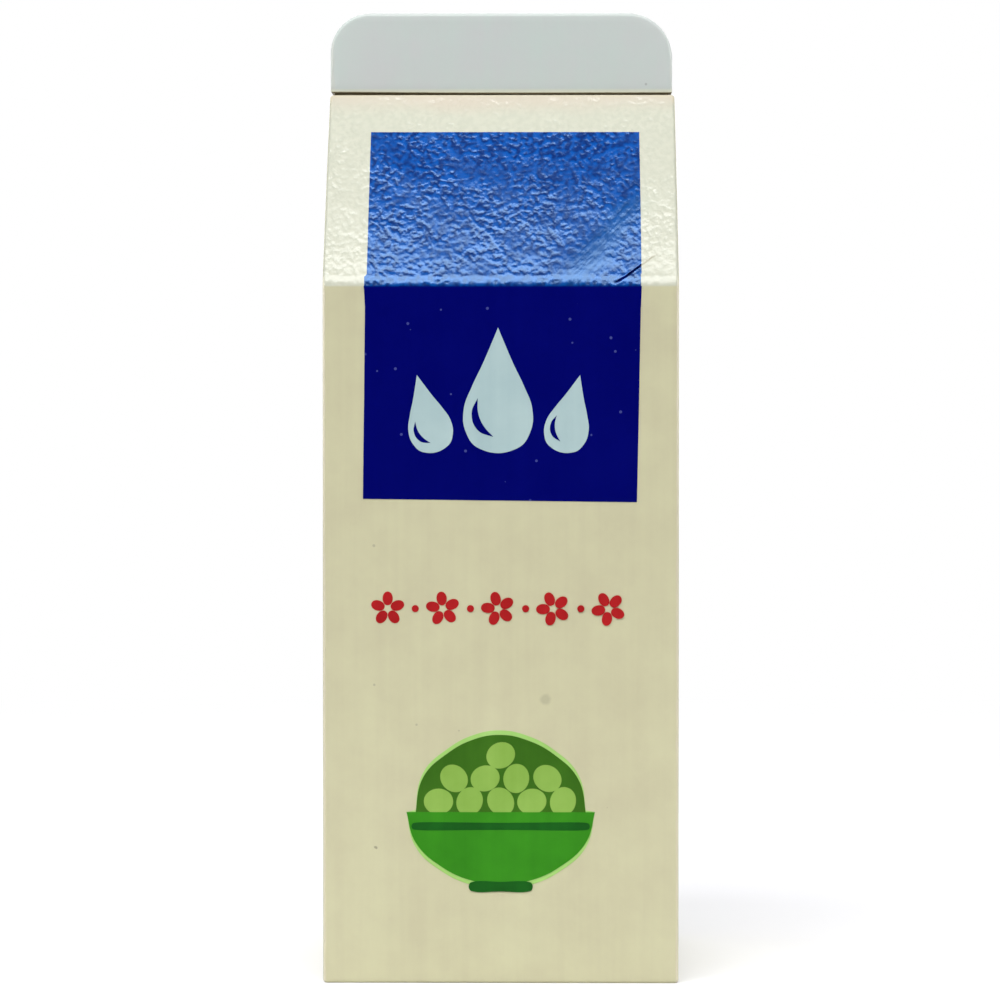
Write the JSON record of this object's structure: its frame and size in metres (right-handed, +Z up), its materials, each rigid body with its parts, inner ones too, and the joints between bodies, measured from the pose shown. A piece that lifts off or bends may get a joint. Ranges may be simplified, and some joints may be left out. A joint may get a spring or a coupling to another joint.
{
  "type": "wooden toy milk carton",
  "caption": "Wooden toy soy milk carton: a solid painted block with a gable roof, a rounded board along its ridge and a simple printed front.",
  "frame": {"origin": "middle of the base, on the surface the carton stands on", "axes": "+Z up along the carton, -Y towards the viewer of the printed front, +X to that viewer's right"},
  "size_m": [0.04, 0.04, 0.1106],
  "materials": {
    "cream_paint": "glossy cream paint over sanded wood, rippled by the end grain on the roof slopes",
    "grey_paint": "smooth semi-gloss light grey paint over wood",
    "blue_print": "navy blue screen print over the paint, glossy",
    "leaf_print": "pale blue-grey screen print, satin",
    "red_print": "red screen print, satin",
    "green_print": "green screen prints from pale to dark, satin"
  },
  "bodies": {
    "root": {"carton_block": "cream_paint", "ridge_board": "grey_paint"}
  },
  "joints": []
}
